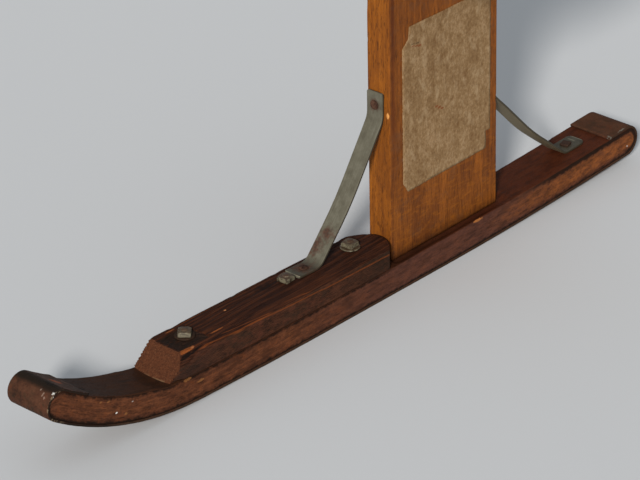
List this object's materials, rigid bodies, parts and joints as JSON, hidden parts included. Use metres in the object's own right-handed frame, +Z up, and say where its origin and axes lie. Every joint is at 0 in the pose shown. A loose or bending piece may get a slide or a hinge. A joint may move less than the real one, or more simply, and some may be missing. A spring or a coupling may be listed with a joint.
{
  "type": "wooden sled",
  "caption": "One-runner stool sled: an upturned wooden runner with an iron shoe, a bolted block, a post held by two strap braces, and a board seat.",
  "frame": {"origin": "on the ground, in the middle of the flat stretch of the shoe that the sled stands on", "axes": "+X forward towards the upturned tip, +Y to the sled's left, +Z up"},
  "size_m": [1.0763, 0.34, 0.465],
  "materials": {
    "runner_wood": "reddish dark brown stain, worn satin",
    "block_wood": "near-black weathered brown, dry",
    "post_wood": "golden orange varnish, worn",
    "seat_wood": "brown varnish, worn satin",
    "shoe_iron": "brown rust with bare worn edges",
    "strap_steel": "dull grey with rust",
    "bolt_steel": "dull and rusty",
    "nut_steel": "dull grey",
    "washer_steel": "dull grey",
    "rusty_screws": "rusted",
    "seat_screw_steel": "dull grey",
    "patch_paper": "aged tan, mottled"
  },
  "bodies": {
    "root": {"cleat_left": "seat_wood", "cleat_right": "seat_wood", "cleat_screws": "seat_screw_steel", "front_block": "block_wood", "front_bolt": "bolt_steel", "front_brace": "strap_steel", "front_foot_screw": "rusty_screws", "front_nut": "nut_steel", "front_post_screw": "rusty_screws", "front_washer": "rusty_screws", "middle_bolt": "bolt_steel", "middle_nut": "nut_steel", "paper_patch": "patch_paper", "post": "post_wood", "rear_bolt": "bolt_steel", "rear_brace": "strap_steel", "rear_foot_bolt": "rusty_screws", "rear_nut": "nut_steel", "rear_post_screw": "rusty_screws", "rear_washer": "washer_steel", "runner": "runner_wood", "runner_shoe": "shoe_iron", "seat": "seat_wood", "seat_screws": "seat_screw_steel", "shoe_screws": "rusty_screws"}
  },
  "joints": []
}
